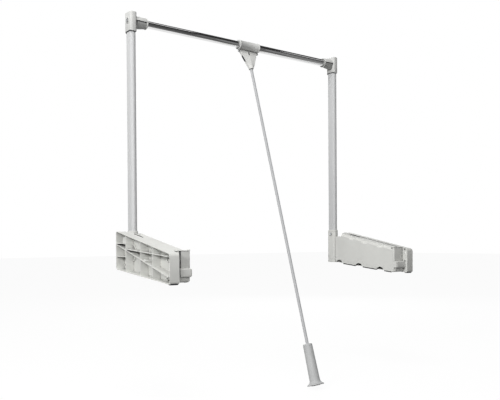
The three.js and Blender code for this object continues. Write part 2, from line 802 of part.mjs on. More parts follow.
// Centre sleeve: steps from the outer tube to the inner one and carries the fork's pin
function centreSleeve() {
  const from = HANGER_AT - HANGER_HALF;
  const to = HANGER_AT + HANGER_HALF;
  const pinHeight = BAR_HEIGHT - FORK_PIN_DROP;
  const lug = (start) =>
    join(
      discX([0, pinHeight], LUG_RADIUS, start, start + LUG_WIDTH),
      boxOf(start, start + LUG_WIDTH, -LUG_RADIUS, LUG_RADIUS, pinHeight, BAR_HEIGHT - HANGER_RADIUS / 2),
    );
  return cut(
    join(
      rodX(HANGER_RADIUS, from, to, 0, BAR_HEIGHT),
      rodX(HANGER_RIM_RADIUS, from, from + HANGER_RIM, 0, BAR_HEIGHT),
      rodX(HANGER_RIM_RADIUS, to - HANGER_RIM, to, 0, BAR_HEIGHT),
      lug(from),
      lug(to - LUG_WIDTH),
    ),
    rodX(INNER_TUBE_RADIUS + GAP, from - WALL, OUTER_TUBE_START, 0, BAR_HEIGHT),
    rodX(OUTER_TUBE_RADIUS + GAP, OUTER_TUBE_START - GAP, to + WALL, 0, BAR_HEIGHT),
    discX([0, pinHeight], FORK_PIN_RADIUS + GAP, from - WALL, to + WALL),
  );
}

function forkPin() {
  const half = HANGER_HALF - GAP;
  const pinHeight = BAR_HEIGHT - FORK_PIN_DROP;
  return discX([0, pinHeight], FORK_PIN_RADIUS, HANGER_AT - half, HANGER_AT + half);
}

// The fork, rod and grip hang from the pin: x is counted from the fork's middle, z from the pin
function pullFork() {
  const half = HANGER_HALF - LUG_WIDTH - GAP;
  const barrel = rodX(FORK_BARREL_RADIUS, -half, half, 0, 0);
  const web = solidOf(
    new THREE.ExtrudeGeometry(
      roundedOutline(
        [
          [-FORK_HALF, 0],
          [-FORK_NECK, -FORK_LENGTH],
          [FORK_NECK, -FORK_LENGTH],
          [FORK_HALF, 0],
        ],
        WALL,
      ),
      { depth: FORK_THICKNESS, bevelEnabled: false, curveSegments: CURVE_SEGMENTS },
    )
      .rotateX(Math.PI / 2)
      .translate(0, FORK_THICKNESS / 2, 0),
  );
  const ridge = rodZ(FORK_FOOT_RADIUS, FORK_RIDGE_RADIUS, -FORK_LENGTH - WALL, -FORK_BARREL_RADIUS);
  return cut(
    join(barrel, web, ridge),
    rodX(FORK_PIN_RADIUS + 2 * PIVOT_PLAY, -HANGER_HALF, HANGER_HALF, 0, 0),
    rodZ(ROD_RADIUS + GAP, ROD_RADIUS + GAP, -FORK_LENGTH - 2 * WALL, -FORK_LENGTH + SOCKET_DEPTH),
  );
}

// A round bar or cone along z: first its radius at the lower end, then at the upper end
function rodZ(lowRadius, highRadius, low, high) {
  const geometry = new THREE.CylinderGeometry(highRadius, lowRadius, high - low, ROUND_SEGMENTS);
  return solidOf(geometry.rotateX(Math.PI / 2).translate(0, 0, (low + high) / 2));
}

function pullRod() {
  const top = -FORK_LENGTH + SOCKET_DEPTH - GAP;
  return cut(
    rodZ(ROD_RADIUS, ROD_RADIUS, -ROD_END, top),
    rodZ(ROD_RADIUS - TUBE_WALL, ROD_RADIUS - TUBE_WALL, -ROD_END - WALL, top + WALL),
  );
}

function grip() {
  const foot = -GRIP_START - GRIP_LENGTH;
  const profile = [
    [0, -GRIP_START],
    [GRIP_RADIUS - WALL, -GRIP_START],
    [GRIP_RADIUS, -GRIP_START - WALL],
    [GRIP_FOOT_RADIUS, foot],
    [FLARE_RADIUS - FLARE_EDGE, foot - FLARE_LENGTH + FLARE_EDGE],
    [FLARE_RADIUS, foot - FLARE_LENGTH + FLARE_EDGE / 2],
    [FLARE_RADIUS, foot - FLARE_LENGTH],
    [0, foot - FLARE_LENGTH],
  ];
  const body = new THREE.LatheGeometry(
    profile.reverse().map(([r, z]) => new THREE.Vector2(r, z)),
    ROUND_SEGMENTS,
  ).rotateX(Math.PI / 2);
  return cut(
    solidOf(body),
    rodZ(ROD_RADIUS + GAP, ROD_RADIUS + GAP, -ROD_END - GAP, -GRIP_START + WALL),
    rodZ(CAP_PLUG_RADIUS + GAP, CAP_PLUG_RADIUS + GAP, gripFoot() - WALL, gripFoot() + GRIP_BORE_DEPTH),
  );
}

function gripFoot() {
  return -GRIP_START - GRIP_LENGTH - FLARE_LENGTH;
}

function gripCap() {
  const foot = gripFoot() - GAP;
  return join(
    rodZ(CAP_RADIUS - WALL / 2, CAP_RADIUS, foot - CAP_THICKNESS, foot),
    rodZ(CAP_PLUG_RADIUS, CAP_PLUG_RADIUS, foot - CAP_THICKNESS / 2, foot + CAP_PLUG_LENGTH),
  );
}

// Assembly
const lift = new THREE.Group();
const left = new THREE.Group();
const right = new THREE.Group();
const hanging = new THREE.Group();
right.position.x = WIDTH;
right.scale.x = -1;
hanging.position.set(HANGER_AT, 0, BAR_HEIGHT - FORK_PIN_DROP);
hanging.rotation.x = -ROD_TILT;
lift.add(left, right, hanging);

function add(group, name, solid, material) {
  const mesh = new THREE.Mesh(geometryOf(solid), material);
  mesh.name = name;
  group.add(mesh);
}

function addSide(group, side, tubeRadius) {
  add(group, `${side}_wall_tray`, wallTray(), greyPlastic());
  add(group, `${side}_inner_cover`, innerCover(), greyPlastic());
  add(group, `${side}_upper_cover_screw`, coverScrew(COVER_SCREWS[0]), steel());
  add(group, `${side}_lower_cover_screw`, coverScrew(COVER_SCREWS[1]), steel());
  add(group, `${side}_pivot_pin`, pivotPin(), steel());
  add(group, `${side}_lever`, lever(), steel());
  add(group, `${side}_stop_buffer`, stopBuffer(), blackRubber());
  add(group, `${side}_spring_cylinder`, springCylinder(), steel());
  add(group, `${side}_spring_rod`, springRod(), steel());
  add(group, `${side}_arm_sleeve`, armSleeve(), greyPlastic());
  add(group, `${side}_sleeve_screw`, sleeveScrew(), steel());
  add(group, `${side}_lower_rivet`, rivet(RIVETS[0]), steel());
  add(group, `${side}_upper_rivet`, rivet(RIVETS[1]), steel());
  add(group, `${side}_arm_tube`, armTube(), silverPaint());
  add(group, `${side}_elbow`, elbow(tubeRadius), palePlastic());
  add(group, `${side}_elbow_screw`, elbowScrew(), steel());
}

addSide(left, "left", INNER_TUBE_RADIUS);
addSide(right, "right", OUTER_TUBE_RADIUS);

const barStart = ARM_INSET + SOCKET_FLOOR;
add(lift, "inner_bar_tube", tubeX(INNER_TUBE_RADIUS, barStart, INNER_TUBE_END), chrome());
add(lift, "outer_bar_tube", tubeX(OUTER_TUBE_RADIUS, OUTER_TUBE_START, WIDTH - barStart), chrome());
add(lift, "centre_sleeve", centreSleeve(), palePlastic());
add(lift, "fork_pin", forkPin(), steel());
add(hanging, "pull_fork", pullFork(), palePlastic());
add(hanging, "pull_rod", pullRod(), whiteRod());
add(hanging, "grip", grip(), gripGrey());
add(hanging, "grip_end_cap", gripCap(), gripGrey());

lift.position.set(0, -PAD_AT[0], -PAD_AT[1]);

export default lift;
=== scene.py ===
"""Looks of the pull down closet rod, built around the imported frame. Metres, same frame as the CAD."""
import json
import math

import bmesh
import bpy
from mathutils import Matrix, Vector


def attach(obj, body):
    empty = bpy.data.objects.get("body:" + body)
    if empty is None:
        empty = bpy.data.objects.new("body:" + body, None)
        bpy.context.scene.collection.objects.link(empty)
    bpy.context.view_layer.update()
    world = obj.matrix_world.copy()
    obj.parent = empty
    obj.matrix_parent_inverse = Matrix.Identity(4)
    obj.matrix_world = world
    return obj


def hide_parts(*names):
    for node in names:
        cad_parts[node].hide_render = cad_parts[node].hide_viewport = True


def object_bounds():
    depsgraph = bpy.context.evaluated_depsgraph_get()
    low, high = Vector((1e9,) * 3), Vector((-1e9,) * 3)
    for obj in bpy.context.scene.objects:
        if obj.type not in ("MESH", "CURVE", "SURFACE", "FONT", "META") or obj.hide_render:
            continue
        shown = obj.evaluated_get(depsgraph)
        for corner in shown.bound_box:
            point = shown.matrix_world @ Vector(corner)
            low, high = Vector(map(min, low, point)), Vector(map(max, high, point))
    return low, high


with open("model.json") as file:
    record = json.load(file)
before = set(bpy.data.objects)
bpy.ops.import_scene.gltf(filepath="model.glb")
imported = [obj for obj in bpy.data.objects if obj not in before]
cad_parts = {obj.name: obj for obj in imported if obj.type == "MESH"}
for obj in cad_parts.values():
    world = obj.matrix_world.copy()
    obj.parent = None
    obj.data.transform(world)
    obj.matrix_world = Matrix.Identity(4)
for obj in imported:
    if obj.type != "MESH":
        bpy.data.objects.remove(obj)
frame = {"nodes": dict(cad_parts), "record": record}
CAD_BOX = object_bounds()
NODES = frame["nodes"]

# Photo camera: place, angles and lens in pixels of the 500 by 400 photo
PHOTO_WIDTH = 500
SENSOR_MM = 36.0
CAMERA_AT = Vector((-0.965766, -1.784876, 0.056291))
CAMERA_YAW = math.radians(38.614)
CAMERA_PITCH = math.radians(0.678)
CAMERA_ROLL = math.radians(-0.36)
CAMERA_REACH = 50
FOCAL_PX = 678.66
CENTRE_OFF_PX = (16.16, 49.19)


def add_camera():
    data = bpy.data.cameras.new("photo_camera")
    data.sensor_width = SENSOR_MM
    data.sensor_fit = "HORIZONTAL"
    data.lens = FOCAL_PX * SENSOR_MM / PHOTO_WIDTH
    data.shift_x = -CENTRE_OFF_PX[0] / PHOTO_WIDTH
    data.shift_y = CENTRE_OFF_PX[1] / PHOTO_WIDTH
    data.clip_end = CAMERA_REACH
    camera = bpy.data.objects.new("photo_camera", data)
    turn = (
        Matrix.Rotation(-CAMERA_YAW, 4, "Z")
        @ Matrix.Rotation(math.pi / 2 - CAMERA_PITCH, 4, "X")
        @ Matrix.Rotation(CAMERA_ROLL, 4, "Z")
    )
    camera.matrix_world = Matrix.Translation(CAMERA_AT) @ turn
    bpy.context.scene.collection.objects.link(camera)
    bpy.context.scene.camera = camera


# Materials. Tones multiply a colour, a gloss pair is added to its roughness, and a relief is the strength
# and depth in metres of a bump.
WHITE = (1, 1, 1, 1)
# Painted crease shade: reach in metres, lean of the look upward, samples, and the open shares of dark and
# clear places
CREASE_REACH = 0.01
CREASE_LEAN = 0.5
CREASE_SAMPLES = 8
CREASE_SKY = (0.22, 0.62)
PLASTIC_CREASE_SHADE = 0.22
PLASTIC_TONES = (0.95, 1.04)
PLASTIC_GLOSS = (-0.06, 0.08)
PLASTIC_SPECULAR = 0.4
PLASTIC_RELIEF = (0.35, 0.00003)
PAINT_CREASE_SHADE = 0.2
PAINT_TONES = (0.93, 1.05)
PAINT_GLOSS = (-0.05, 0.07)
PAINT_RELIEF = (0.12, 0.00004)
PLATE_TONES = (0.92, 1.03)
PLATE_GLOSS_FACTORS = (0.6, 1.6)
PLATE_RELIEF = (0.04, 0.00001)
RUBBER_TONES = (0.8, 1.3)
RUBBER_RELIEF = (0.5, 0.00006)
RUBBER_ROUGH = 0.85
# Noise scales, as a number of grains in about a metre, and their detail
MOTTLE = (14, 4)
PLASTIC_SHEEN = (60, 3)
PLASTIC_GRAIN = (2200, 2)
FLAKE = (5200, 2)
PAINT_SHEEN = (90, 4)
PEEL = (420, 2)
STREAK = (260, 5)
RUBBER_DUST = (800, 5)
RUBBER_GRAIN = (1500, 4)


def new_material(name):
    material = bpy.data.materials.new(name)
    material.use_nodes = True
    nodes = material.node_tree.nodes
    return material, nodes, material.node_tree.links, nodes["Principled BSDF"]


def noise(nodes, links, grain, stretch=(1, 1, 1)):
    place = nodes.new("ShaderNodeTexCoord")
    mapping = nodes.new("ShaderNodeMapping")
    mapping.inputs["Scale"].default_value = stretch
    texture = nodes.new("ShaderNodeTexNoise")
    texture.inputs["Scale"].default_value, texture.inputs["Detail"].default_value = grain
    links.new(place.outputs["Object"], mapping.inputs["Vector"])
    links.new(mapping.outputs["Vector"], texture.inputs["Vector"])
    return texture.outputs["Fac"]


def ramp(nodes, links, source, low, high, start=0.3, end=0.7):
    node = nodes.new("ShaderNodeValToRGB")
    node.color_ramp.elements[0].position = start
    node.color_ramp.elements[1].position = end
    node.color_ramp.elements[0].color = low
    node.color_ramp.elements[1].color = high
    links.new(source, node.inputs["Fac"])
    return node.outputs["Color"]


def spread(nodes, links, source, low, high):
    node = nodes.new("ShaderNodeMapRange")
    node.inputs["To Min"].default_value = low
    node.inputs["To Max"].default_value = high
    links.new(source, node.inputs["Value"])
    return node.outputs["Result"]


def bump(nodes, links, source, shader, relief):
    node = nodes.new("ShaderNodeBump")
    node.inputs["Strength"].default_value, node.inputs["Distance"].default_value = relief
    links.new(source, node.inputs["Height"])
    links.new(node.outputs["Normal"], shader.inputs["Normal"])


def grey(shade):
    return (shade, shade, shade, 1)


def toned(nodes, links, source, colour, tones):
    """A colour that a texture moves between two tones."""
    low, high = (tuple(c * tone for c in colour) + (1,) for tone in tones)
    return ramp(nodes, links, source, low, high)


def paint_crease_shade(nodes, links, colour, dark):
    """Paint shade into creases, most of all those under an overhang, as the soft light comes from above."""
    surface = nodes.new("ShaderNodeNewGeometry")
    upward = nodes.new("ShaderNodeVectorMath")
    upward.inputs[1].default_value = (0, 0, CREASE_LEAN)
    level = nodes.new("ShaderNodeVectorMath")
    level.operation = "NORMALIZE"
    links.new(surface.outputs["Normal"], upward.inputs[0])
    links.new(upward.outputs["Vector"], level.inputs[0])
    hollow = nodes.new("ShaderNodeAmbientOcclusion")
    links.new(level.outputs["Vector"], hollow.inputs["Normal"])
    hollow.inputs["Distance"].default_value = CREASE_REACH
    hollow.samples = CREASE_SAMPLES
    mix = nodes.new("ShaderNodeMix")
    mix.data_type = "RGBA"
    mix.blend_type = "MULTIPLY"
    mix.inputs["Factor"].default_value = 1
    links.new(colour, mix.inputs["A"])
    links.new(ramp(nodes, links, hollow.outputs["AO"], grey(dark), WHITE, *CREASE_SKY), mix.inputs["B"])
    return mix.outputs["Result"]


def moulded(name, colour, rough=0.5):
    """Moulded plastic: faint mottling, fine spark-eroded grain and uneven gloss."""
    material, nodes, links, shader = new_material(name)
    plain = toned(nodes, links, noise(nodes, links, MOTTLE), colour, PLASTIC_TONES)
    gloss = [rough + step for step in PLASTIC_GLOSS]
    links.new(paint_crease_shade(nodes, links, plain, PLASTIC_CREASE_SHADE), shader.inputs["Base Color"])
    links.new(spread(nodes, links, noise(nodes, links, PLASTIC_SHEEN), *gloss), shader.inputs["Roughness"])
    bump(nodes, links, noise(nodes, links, PLASTIC_GRAIN), shader, PLASTIC_RELIEF)
    shader.inputs["Specular IOR Level"].default_value = PLASTIC_SPECULAR
    return material


def coated(name, colour, metallic, rough):
    """Powder or lacquer coat: fine flake, orange peel and small gloss changes."""
    material, nodes, links, shader = new_material(name)
    plain = toned(nodes, links, noise(nodes, links, FLAKE), colour, PAINT_TONES)
    gloss = [rough + step for step in PAINT_GLOSS]
    links.new(paint_crease_shade(nodes, links, plain, PAINT_CREASE_SHADE), shader.inputs["Base Color"])
    links.new(spread(nodes, links, noise(nodes, links, PAINT_SHEEN), *gloss), shader.inputs["Roughness"])
    bump(nodes, links, noise(nodes, links, PEEL), shader, PAINT_RELIEF)
    shader.inputs["Metallic"].default_value = metallic
    return material


def plated(name, colour, rough, stretch):
    """Plated metal with drawn streaks along one axis."""
    material, nodes, links, shader = new_material(name)
    streak = noise(nodes, links, STREAK, stretch)
    gloss = [rough * factor for factor in PLATE_GLOSS_FACTORS]
    links.new(toned(nodes, links, streak, colour, PLATE_TONES), shader.inputs["Base Color"])
    links.new(spread(nodes, links, streak, *gloss), shader.inputs["Roughness"])
    bump(nodes, links, streak, shader, PLATE_RELIEF)
    shader.inputs["Metallic"].default_value = 1
    return material


def rubbery(name, colour):
    """Matt black rubber with dusty mottling and a coarse grain."""
    material, nodes, links, shader = new_material(name)
    dust = noise(nodes, links, RUBBER_DUST)
    links.new(toned(nodes, links, dust, colour, RUBBER_TONES), shader.inputs["Base Color"])
    bump(nodes, links, noise(nodes, links, RUBBER_GRAIN), shader, RUBBER_RELIEF)
    shader.inputs["Roughness"].default_value = RUBBER_ROUGH
    return material


GREY_PLASTIC = moulded("grey_plastic", (0.595, 0.597, 0.572))
PALE_PLASTIC = moulded("pale_plastic", (0.54, 0.542, 0.528), 0.45)
# A darker copy of the pale plastic for the socket's barrel and keel and the sleeve's ears: painted shade.
PALE_PLASTIC_SHADED = moulded("pale_plastic_painted_shade", (0.34, 0.343, 0.335), 0.5)
# A lighter copy of the pale plastic for the fork: painted light.
PALE_PLASTIC_LIT = moulded("pale_plastic_painted_light", (0.67, 0.67, 0.65), 0.45)
GRIP_PLASTIC = moulded("grip_plastic", (0.43, 0.435, 0.435), 0.5)
SILVER_PAINT = coated("silver_paint", (0.545, 0.55, 0.552), 0.12, 0.45)
WHITE_ROD = coated("white_rod", (0.42, 0.423, 0.43), 0.0, 0.42)
CHROME = plated("chrome_tube", (0.80, 0.80, 0.80), 0.07, (0.04, 1, 1))
STEEL = plated("zinc_steel", (0.60, 0.61, 0.62), 0.4, (1, 1, 0.2))
RUBBER = rubbery("black_rubber", (0.03, 0.03, 0.033))
BY_SLOT = {
    "grey_plastic": GREY_PLASTIC,
    "pale_plastic": PALE_PLASTIC,
    "grip_plastic": GRIP_PLASTIC,
    "silver_paint": SILVER_PAINT,
    "white_rod": WHITE_ROD,
    "chrome_tube": CHROME,
    "zinc_steel": STEEL,
    "black_rubber": RUBBER,
}

# CAD nodes that stay in view: welded, smooth on curved faces, with softened edges. Metres.
WELD = 0.00002
EDGE_ANGLE = math.radians(28)
EDGE_SEGMENTS = 2
SHELL_EDGE = 0.0009
FINE_EDGE = 0.0004
SHELLS = ("wall_tray", "inner_cover")


def smooth_group():
    """Smooth shading on every edge that turns by less than the edge angle."""
    group = bpy.data.node_groups.new("smooth_by_angle", "GeometryNodeTree")
    for way in ("INPUT", "OUTPUT"):
        group.interface.new_socket("Geometry", in_out=way, socket_type="NodeSocketGeometry")
    nodes, links = group.nodes, group.links
    entry = nodes.new("NodeGroupInput")
    leave = nodes.new("NodeGroupOutput")
    faces = nodes.new("GeometryNodeSetShadeSmooth")
    faces.domain = "FACE"
    edges = nodes.new("GeometryNodeSetShadeSmooth")
    edges.domain = "EDGE"
    angle = nodes.new("GeometryNodeInputMeshEdgeAngle")
    flat = nodes.new("FunctionNodeCompare")
    flat.operation = "LESS_THAN"
    flat.inputs["B"].default_value = EDGE_ANGLE
    links.new(angle.outputs["Unsigned Angle"], flat.inputs["A"])
    links.new(flat.outputs["Result"], edges.inputs["Shade Smooth"])
    links.new(entry.outputs[0], faces.inputs["Geometry"])
    links.new(faces.outputs["Geometry"], edges.inputs["Geometry"])
    links.new(edges.outputs["Geometry"], leave.inputs[0])
    return group


SMOOTH = smooth_group()


def soften(obj, width):
    weld = obj.modifiers.new("weld", "WELD")
    weld.merge_threshold = WELD
    smooth = obj.modifiers.new("smooth", "NODES")
    smooth.node_group = SMOOTH
    bevel = obj.modifiers.new("bevel", "BEVEL")
    bevel.width = width
    bevel.segments = EDGE_SEGMENTS
    bevel.limit_method = "ANGLE"
    bevel.angle_limit = EDGE_ANGLE
    bevel.harden_normals = True


def dress_nodes():
    slots = {row["node"]: row["material_slot"] for row in frame["record"]["subparts"]}
    for name, obj in NODES.items():
        obj.data.materials.clear()
        obj.data.materials.append(BY_SLOT[slots[name]])
        soften(obj, SHELL_EDGE if name.endswith(SHELLS) else FINE_EDGE)


# Places. All sizes below are in millimetres: x from a side's wall, y = 0 the arm, z = 0 the housing's foot.
MM = 0.001
WIDTH = 1042
ORIGIN_Y = 205
ORIGIN_Z = -30
ARM_INSET = 70
ARM = (ARM_INSET, 0)
BAR_HEIGHT = 800
HANGER_AT = 544
PIN_DROP = 23
ROD_TILT = math.radians(17)


def spot(side):
    """Turns a point in a side's millimetres into the frame's metres."""

    def place(p):
        x = WIDTH - p[0] if side == "right" else p[0]
        return Vector((x * MM, (p[1] + ORIGIN_Y) * MM, (p[2] + ORIGIN_Z) * MM))

    return place


def hanging(p):
    """Turns a point counted from the fork's pin, before the tilt, into the frame's metres."""
    y = p[1] * math.cos(ROD_TILT) + p[2] * math.sin(ROD_TILT)
    z = -p[1] * math.sin(ROD_TILT) + p[2] * math.cos(ROD_TILT)
    pin = BAR_HEIGHT - PIN_DROP
    return Vector(((HANGER_AT + p[0]) * MM, (y + ORIGIN_Y) * MM, (z + pin + ORIGIN_Z) * MM))


# Meshes
MERGE_M = 0.0000005
SHARP_DEGREES = 35
RING_SLACK = 0.01
CROWN_SHARES = (0.85, 0.65, 0.4, 0.15)


def loft(rings, closed=False):
    """Skin over a row of rings: a list of points and a list of faces."""
    count = len(rings[0])
    points = [p for ring in rings for p in ring]
    faces = []
    last = len(rings) if closed else len(rings) - 1
    for i in range(last):
        a = i * count
        b = (i + 1) % len(rings) * count
        for j in range(count):
            k = (j + 1) % count
            faces.append((a + j, a + k, b + k, b + j))
    if not closed:
        faces.append(tuple(reversed(range(count))))
        faces.append(tuple(range(len(points) - count, len(points))))
    return points, faces


def piece(name, skins, place, material, body, stands_for=(), sharp=SHARP_DEGREES):
    """One object out of several skins, with outward normals and sharp edges by angle."""
    mesh = bpy.data.meshes.new(name)
    work = bmesh.new()
    for points, faces in skins:
        made = [work.verts.new(place(p)) for p in points]
        for face in faces:
            work.faces.new([made[i] for i in face])
    bmesh.ops.remove_doubles(work, verts=work.verts, dist=MERGE_M)
    bmesh.ops.recalc_face_normals(work, faces=work.faces)
    for face in work.faces:
        face.smooth = True
    work.to_mesh(mesh)
    work.free()
    mesh.set_sharp_from_angle(angle=math.radians(sharp))
    mesh.materials.append(material)
    obj = bpy.data.objects.new(name, mesh)
    bpy.context.scene.collection.objects.link(obj)
    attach(obj, body)
    if stands_for:
        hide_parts(*stands_for)
    return obj


def stadium(thickness, depth, inset, steps=14):
    radius = thickness / 2 - inset
    straight = (depth - thickness) / 2
    points = []
    for start, shift in ((0, straight), (math.pi, -straight)):
        for i in range(steps + 1):
            turn = start + math.pi * i / steps
            points.append((radius * math.cos(turn), shift + radius * math.sin(turn)))
    return points


def rounded_box(width, depth, corner, inset, steps=6):
    radius = corner - inset
    points = []
    for quarter, (sx, sy) in enumerate(((1, 1), (-1, 1), (-1, -1), (1, -1))):
        for i in range(steps + 1):
            turn = math.pi / 2 * (quarter + i / steps)
            x = sx * (width / 2 - corner) + radius * math.cos(turn)
            y = sy * (depth / 2 - corner) + radius * math.sin(turn)
            points.append((x, y))
    return points


def box(width, depth, corner):
    """A rounded box as an outline that shrinks by an inset."""
    return lambda inset: rounded_box(width, depth, corner, inset)


def fillet_steps(span, edges, steps=5):
    """Places and insets of the rings that round both ends of a prism."""
    rows = []
    for i in range(steps + 1):
        turn = math.pi / 2 * i / steps
        rows.append((span[0] + edges[0] * (1 - math.sin(turn)), edges[0] * (1 - math.cos(turn))))
    rows.reverse()
    for i in range(steps + 1):
        turn = math.pi / 2 * i / steps
        rows.append((span[1] - edges[1] * (1 - math.sin(turn)), edges[1] * (1 - math.cos(turn))))
    return rows


def upright(outline, at, heights, edges, foot=None, crown=0):
    """A prism along z around (x, y) = at; foot lifts its lowest rings by y, crown domes its top."""
    rings = []
    for height, inset in fillet_steps(heights, edges):
        lifted = foot and height < heights[0] + edges[0] + RING_SLACK
        ring = []
        for x, y in outline(inset):
            ring.append((at[0] + x, at[1] + y, height + (foot(y) if lifted else 0)))
        rings.append(ring)
    top = rings[-1]
    for share in CROWN_SHARES if crown else ():
        rise = crown * (1 - share**2)
        ring = []
        for x, y, z in top:
            ring.append((at[0] + (x - at[0]) * share, at[1] + (y - at[1]) * share, z + rise))
        rings.append(ring)
    return loft(rings)


def along_x(outline, span, edges):
    """A prism along x of an outline(inset) in (y, z)."""
    rings = [[(x, y, z) for y, z in outline(inset)] for x, inset in fillet_steps(span, edges)]
    return loft(rings)


def turned(profile, at, axis, segments=48):
    """A body of revolution from a closed profile of (along, radius) rows about an axis."""
    rings = []
    for i in range(segments):
        turn = 2 * math.pi * i / segments
        c, s = math.cos(turn), math.sin(turn)
        if axis == "x":
            rings.append([(at[0] + a, at[1] + r * c, at[2] + r * s) for a, r in profile])
        else:
            rings.append([(at[0] + r * c, at[1] + r * s, at[2] + a) for a, r in profile])
    return loft(rings, closed=True)


def arc(centre, radius, first, last, steps):
    """Points on an arc of a profile, in degrees."""
    rows = []
    for i in range(steps + 1):
        turn = math.radians(first + (last - first) * i / steps)
        rows.append((centre[0] + radius * math.cos(turn), centre[1] + radius * math.sin(turn)))
    return rows


def ring_profile(x0, x1, inner, outer, edge, steps=4):
    """Closed profile of a hollow turned ring with rounded edges."""
    return (
        arc((x0 + edge, outer - edge), edge, 180, 90, steps)
        + arc((x1 - edge, outer - edge), edge, 90, 0, steps)
        + arc((x1 - edge / 2, inner + edge / 2), edge / 2, 0, -90, steps)
        + arc((x0 + edge / 2, inner + edge / 2), edge / 2, 270, 180, steps)
    )


# Arm and the sleeve at its foot
ARM_THICKNESS = 20
ARM_DEPTH = 39
ARM_FOOT = 76
ARM_EDGE = 0.5
ARM_HEAD_GAP = 4.4
SLEEVE_THICKNESS = 23.5
SLEEVE_DEPTH = 42
SLEEVE_CORNER = 9
SLEEVE_FOOT = 0.2
SLEEVE_TOPS = {"left": 122, "right": 130}
COLLAR_INSET = 0.02
SLEEVE_SCREW_HEIGHT = 114
# Screw seat: bore radius, outer radius, edge radius
SCREW_SEAT = (5.9, 8.2, 0.6)
SLEEVE_SEAT_SPAN = (-0.6, 1.1)
# Distances below the sleeve's top: the block's end, the collar's start, and the core between them
BLOCK_DROP = 7
COLLAR_DROP = 6.6
CORE_DROPS = (9, 4)
# Radii of the lower and the upper edge
BLOCK_EDGES = (1.2, 0.8)
COLLAR_EDGES = (0.6, 1.6)
CORE_EDGES = (0.2, 0.2)


def arm_tube(side):
    skin = upright(
        lambda inset: stadium(ARM_THICKNESS, ARM_DEPTH, inset),
        ARM,
        (ARM_FOOT, BAR_HEIGHT + ELBOW_TOP - ARM_HEAD_GAP),
        (ARM_EDGE, ARM_EDGE),
    )
    place, body = spot(side), f"{side}_frame"
    piece(f"{side}_oval_arm", [skin], place, SILVER_PAINT, body, [f"{side}_arm_tube"])


def arm_sleeve(side):
    """Sleeve with a collar line, a mouth round the arm and a raised screw seat."""
    half = SLEEVE_THICKNESS / 2
    top = SLEEVE_TOPS[side]
    full = box(SLEEVE_THICKNESS, SLEEVE_DEPTH, SLEEVE_CORNER)
    slim = box(SLEEVE_THICKNESS - 1, SLEEVE_DEPTH - 1, SLEEVE_CORNER - 0.5)
    body_block = upright(full, ARM, (SLEEVE_FOOT, top - BLOCK_DROP), BLOCK_EDGES)
    collar = upright(lambda inset: full(inset + COLLAR_INSET), ARM, (top - COLLAR_DROP, top), COLLAR_EDGES)
    core = upright(slim, ARM, (top - CORE_DROPS[0], top - CORE_DROPS[1]), CORE_EDGES)
    start, end = SLEEVE_SEAT_SPAN
    seat = turned(ring_profile(half + start, half + end, *SCREW_SEAT), (*ARM, SLEEVE_SCREW_HEIGHT), "x")
    skins = [body_block, collar, core, seat]
    place, body = spot(side), f"{side}_frame"
    piece(f"{side}_sleeve_body", skins, place, GREY_PLASTIC, body, [f"{side}_arm_sleeve"])


# Elbow: lengths along the bar count from the arm's middle, heights from the bar's axis
ELBOW_THICKNESS = 24
ELBOW_HALF = ELBOW_THICKNESS / 2
ELBOW_DEPTH = 44
ELBOW_CORNER = 8.5
ELBOW_TAPER = 1.3
ELBOW_TOP = 29
ELBOW_FOOT = 36
ELBOW_EDGES = (0.8, 2.6)
FOOT_ARCH = 4
CROWN = 1.6
# Screw seat: bore radius, outer radius, edge radius
ELBOW_SEAT = (7.4, 10, 0.7)
ELBOW_SEAT_SPAN = (-ELBOW_HALF - 1.5, -ELBOW_HALF + 1)
TUBE_RADIUS = {"left": 12, "right": 14}
SOCKET_START = ELBOW_HALF + 3
SOCKET_LIP = 55
SOCKET_RADIUS = 16.5
LIP_RADIUS = 18
HOOD_RADIUS = 18.5
HOOD_HEIGHT = 1.8
HOOD_ARC_STEPS = 24
HOOD_TUCK = 3
HOOD_ROWS = ((ELBOW_HALF - 4, 0), (SOCKET_LIP - 7, 0.1), (SOCKET_LIP - 5.4, 0.7), (SOCKET_LIP - 4.6, 1.8))
KEEL_STEPS = 8
KEEL_SIDES = 48
KEEL_DROP = 7
KEEL_FADE = 0.8
KEEL_SPREAD = 0.62
KEEL_BORE = 0.93
KEEL_SINK = 0.3
KEEL_END = SOCKET_LIP - 4.4
ON_BAR = (*ARM, BAR_HEIGHT)


def foot_arch(y):
    """How far the elbow's foot is lifted, most in the middle of its depth."""
    return FOOT_ARCH - FOOT_ARCH * (y / ELBOW_DEPTH * 2) ** 2


def elbow_hood():
    """Half round roof over the upper side of the socket."""
    low = math.asin(HOOD_HEIGHT / HOOD_RADIUS)
    rings = []
    for along, drop in HOOD_ROWS:
        radius = HOOD_RADIUS - drop
        ring = []
        for i in range(HOOD_ARC_STEPS + 1):
            turn = low + (math.pi - 2 * low) * i / HOOD_ARC_STEPS
            ring.append((radius * math.cos(turn), radius * math.sin(turn)))
        ring.append((-radius * math.cos(low) + HOOD_TUCK, HOOD_HEIGHT))
        ring.append((radius * math.cos(low) - HOOD_TUCK, HOOD_HEIGHT))
        rings.append([(ARM_INSET + along, y, BAR_HEIGHT + z) for y, z in ring])
    return loft(rings)


def elbow_keel():
    """Gusset below the socket that fades out towards its lip."""
    rings, bores = [], []
    for i in range(KEEL_STEPS + 1):
        share = i / KEEL_STEPS
        x = ARM_INSET + SOCKET_START + (KEEL_END - SOCKET_START) * share
        ring = []
        for j in range(KEEL_SIDES):
            turn = 2 * math.pi * j / KEEL_SIDES
            below = math.remainder(turn + math.pi / 2, 2 * math.pi)
            bulge = KEEL_DROP * (1 - share) ** KEEL_FADE * math.exp(-((below / KEEL_SPREAD) ** 2))
            radius = SOCKET_RADIUS - KEEL_SINK + bulge
            ring.append((radius * math.cos(turn), radius * math.sin(turn)))
        rings.append([(x, y, BAR_HEIGHT + z) for y, z in ring])
        bores.append([(x, y * KEEL_BORE, BAR_HEIGHT + z * KEEL_BORE) for y, z in ring])
    return loft(rings + bores[::-1], closed=True)


